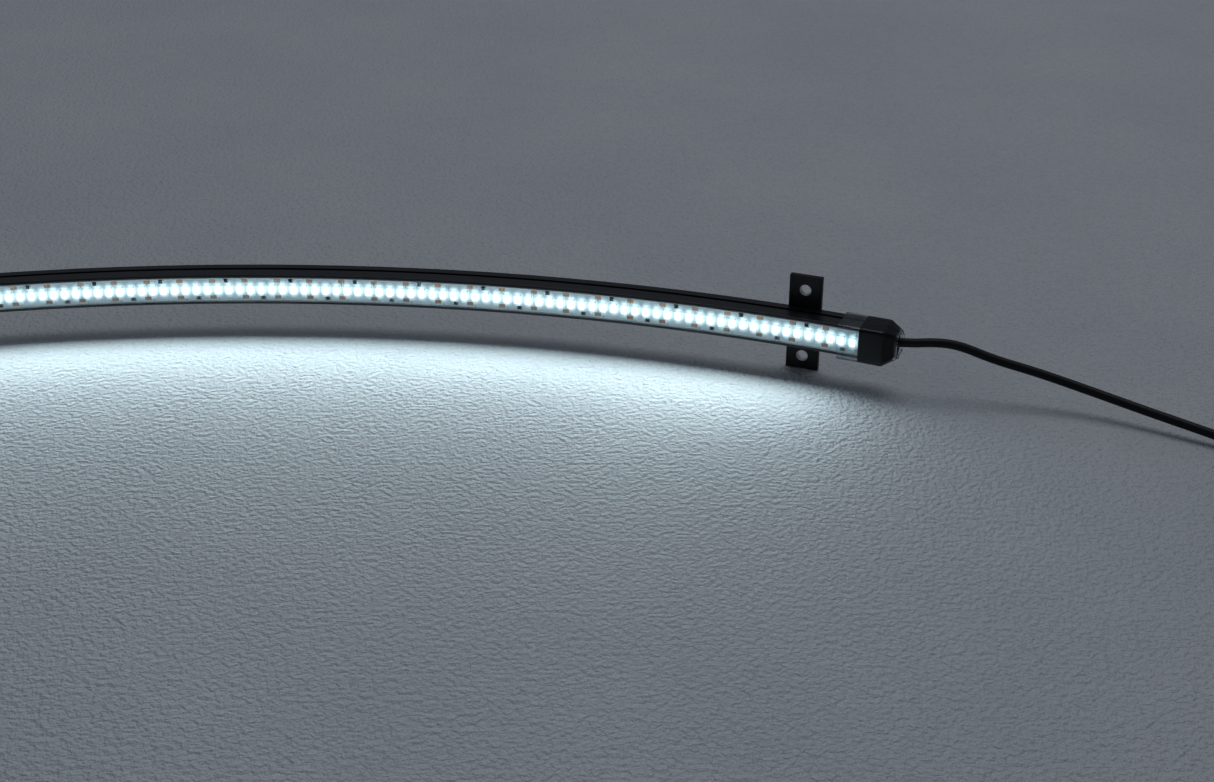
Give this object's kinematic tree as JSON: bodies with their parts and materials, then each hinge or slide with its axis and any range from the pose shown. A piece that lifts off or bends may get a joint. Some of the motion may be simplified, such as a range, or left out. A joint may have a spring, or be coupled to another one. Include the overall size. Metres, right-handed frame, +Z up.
{
  "type": "led light bar",
  "caption": "Curved black aluminium LED light bar with a clear domed lens, sliding mounting brackets with bolt holes, sealed end boots and a coiled bare-ended cable.",
  "frame": {"origin": "on the ground, below the middle of the bar's bounding box without its free cable", "axes": "+X along the bar towards its cable end, +Y towards the brackets' backs (the outside of the bend, away from the light), +Z up"},
  "size_m": [0.6604, 0.1161, 0.038],
  "materials": {
    "black_anodised": "black anodised, satin",
    "clear_silicone": "clear silicone, glossy",
    "white_board": "white solder mask",
    "foam_tape": "double-sided tape",
    "led_housing": "white moulded housing",
    "led_gel": "lit phosphor gel",
    "black_resistor": "dark glazed film",
    "copper": "bare copper",
    "solder": "solder",
    "red_insulation": "red insulation",
    "black_insulation": "black insulation",
    "cable_jacket": "black jacket, satin",
    "potting_black": "black potting",
    "clear_shrink": "clear shrink tube, glossy",
    "tie_strap": "black strap",
    "black_sleeve": "black shrink sleeve",
    "tinned_copper": "tinned strands",
    "black_bracket": "black anodised, satin"
  },
  "bodies": {
    "root": {"channel": "black_anodised", "lens": "clear_silicone", "strip_board": "white_board", "adhesive_tape": "foam_tape", "led_packages": "led_housing", "led_phosphors": "led_gel", "resistors": "black_resistor", "copper_pads": "copper", "solder_joints": "solder", "core_positive": "red_insulation", "core_negative": "black_insulation", "cable_entry": "cable_jacket", "end_plug_left": "potting_black", "end_plug_right": "potting_black", "boot_left": "clear_shrink", "boot_right": "clear_shrink", "cable": "cable_jacket", "cable_coil": "cable_jacket", "cable_tail": "cable_jacket", "cable_tie": "tie_strap", "split_sleeve": "black_sleeve", "lead_positive": "red_insulation", "lead_negative": "black_insulation", "lead_tips": "tinned_copper"},
    "bracket_left": {"bracket_left": "black_bracket"},
    "bracket_right": {"bracket_right": "black_bracket"}
  },
  "joints": [
    {"name": "bracket_right_slide", "type": "hinge", "parent": "root", "child": "bracket_right", "pos_m": [0, -0.567, 0.019], "axis": [0, 0, 1], "range_deg": [-0.8, 19]},
    {"name": "bracket_left_slide", "type": "hinge", "parent": "root", "child": "bracket_left", "pos_m": [0, -0.567, 0.019], "axis": [0, 0, 1], "range_deg": [-19, 0.8]}
  ]
}
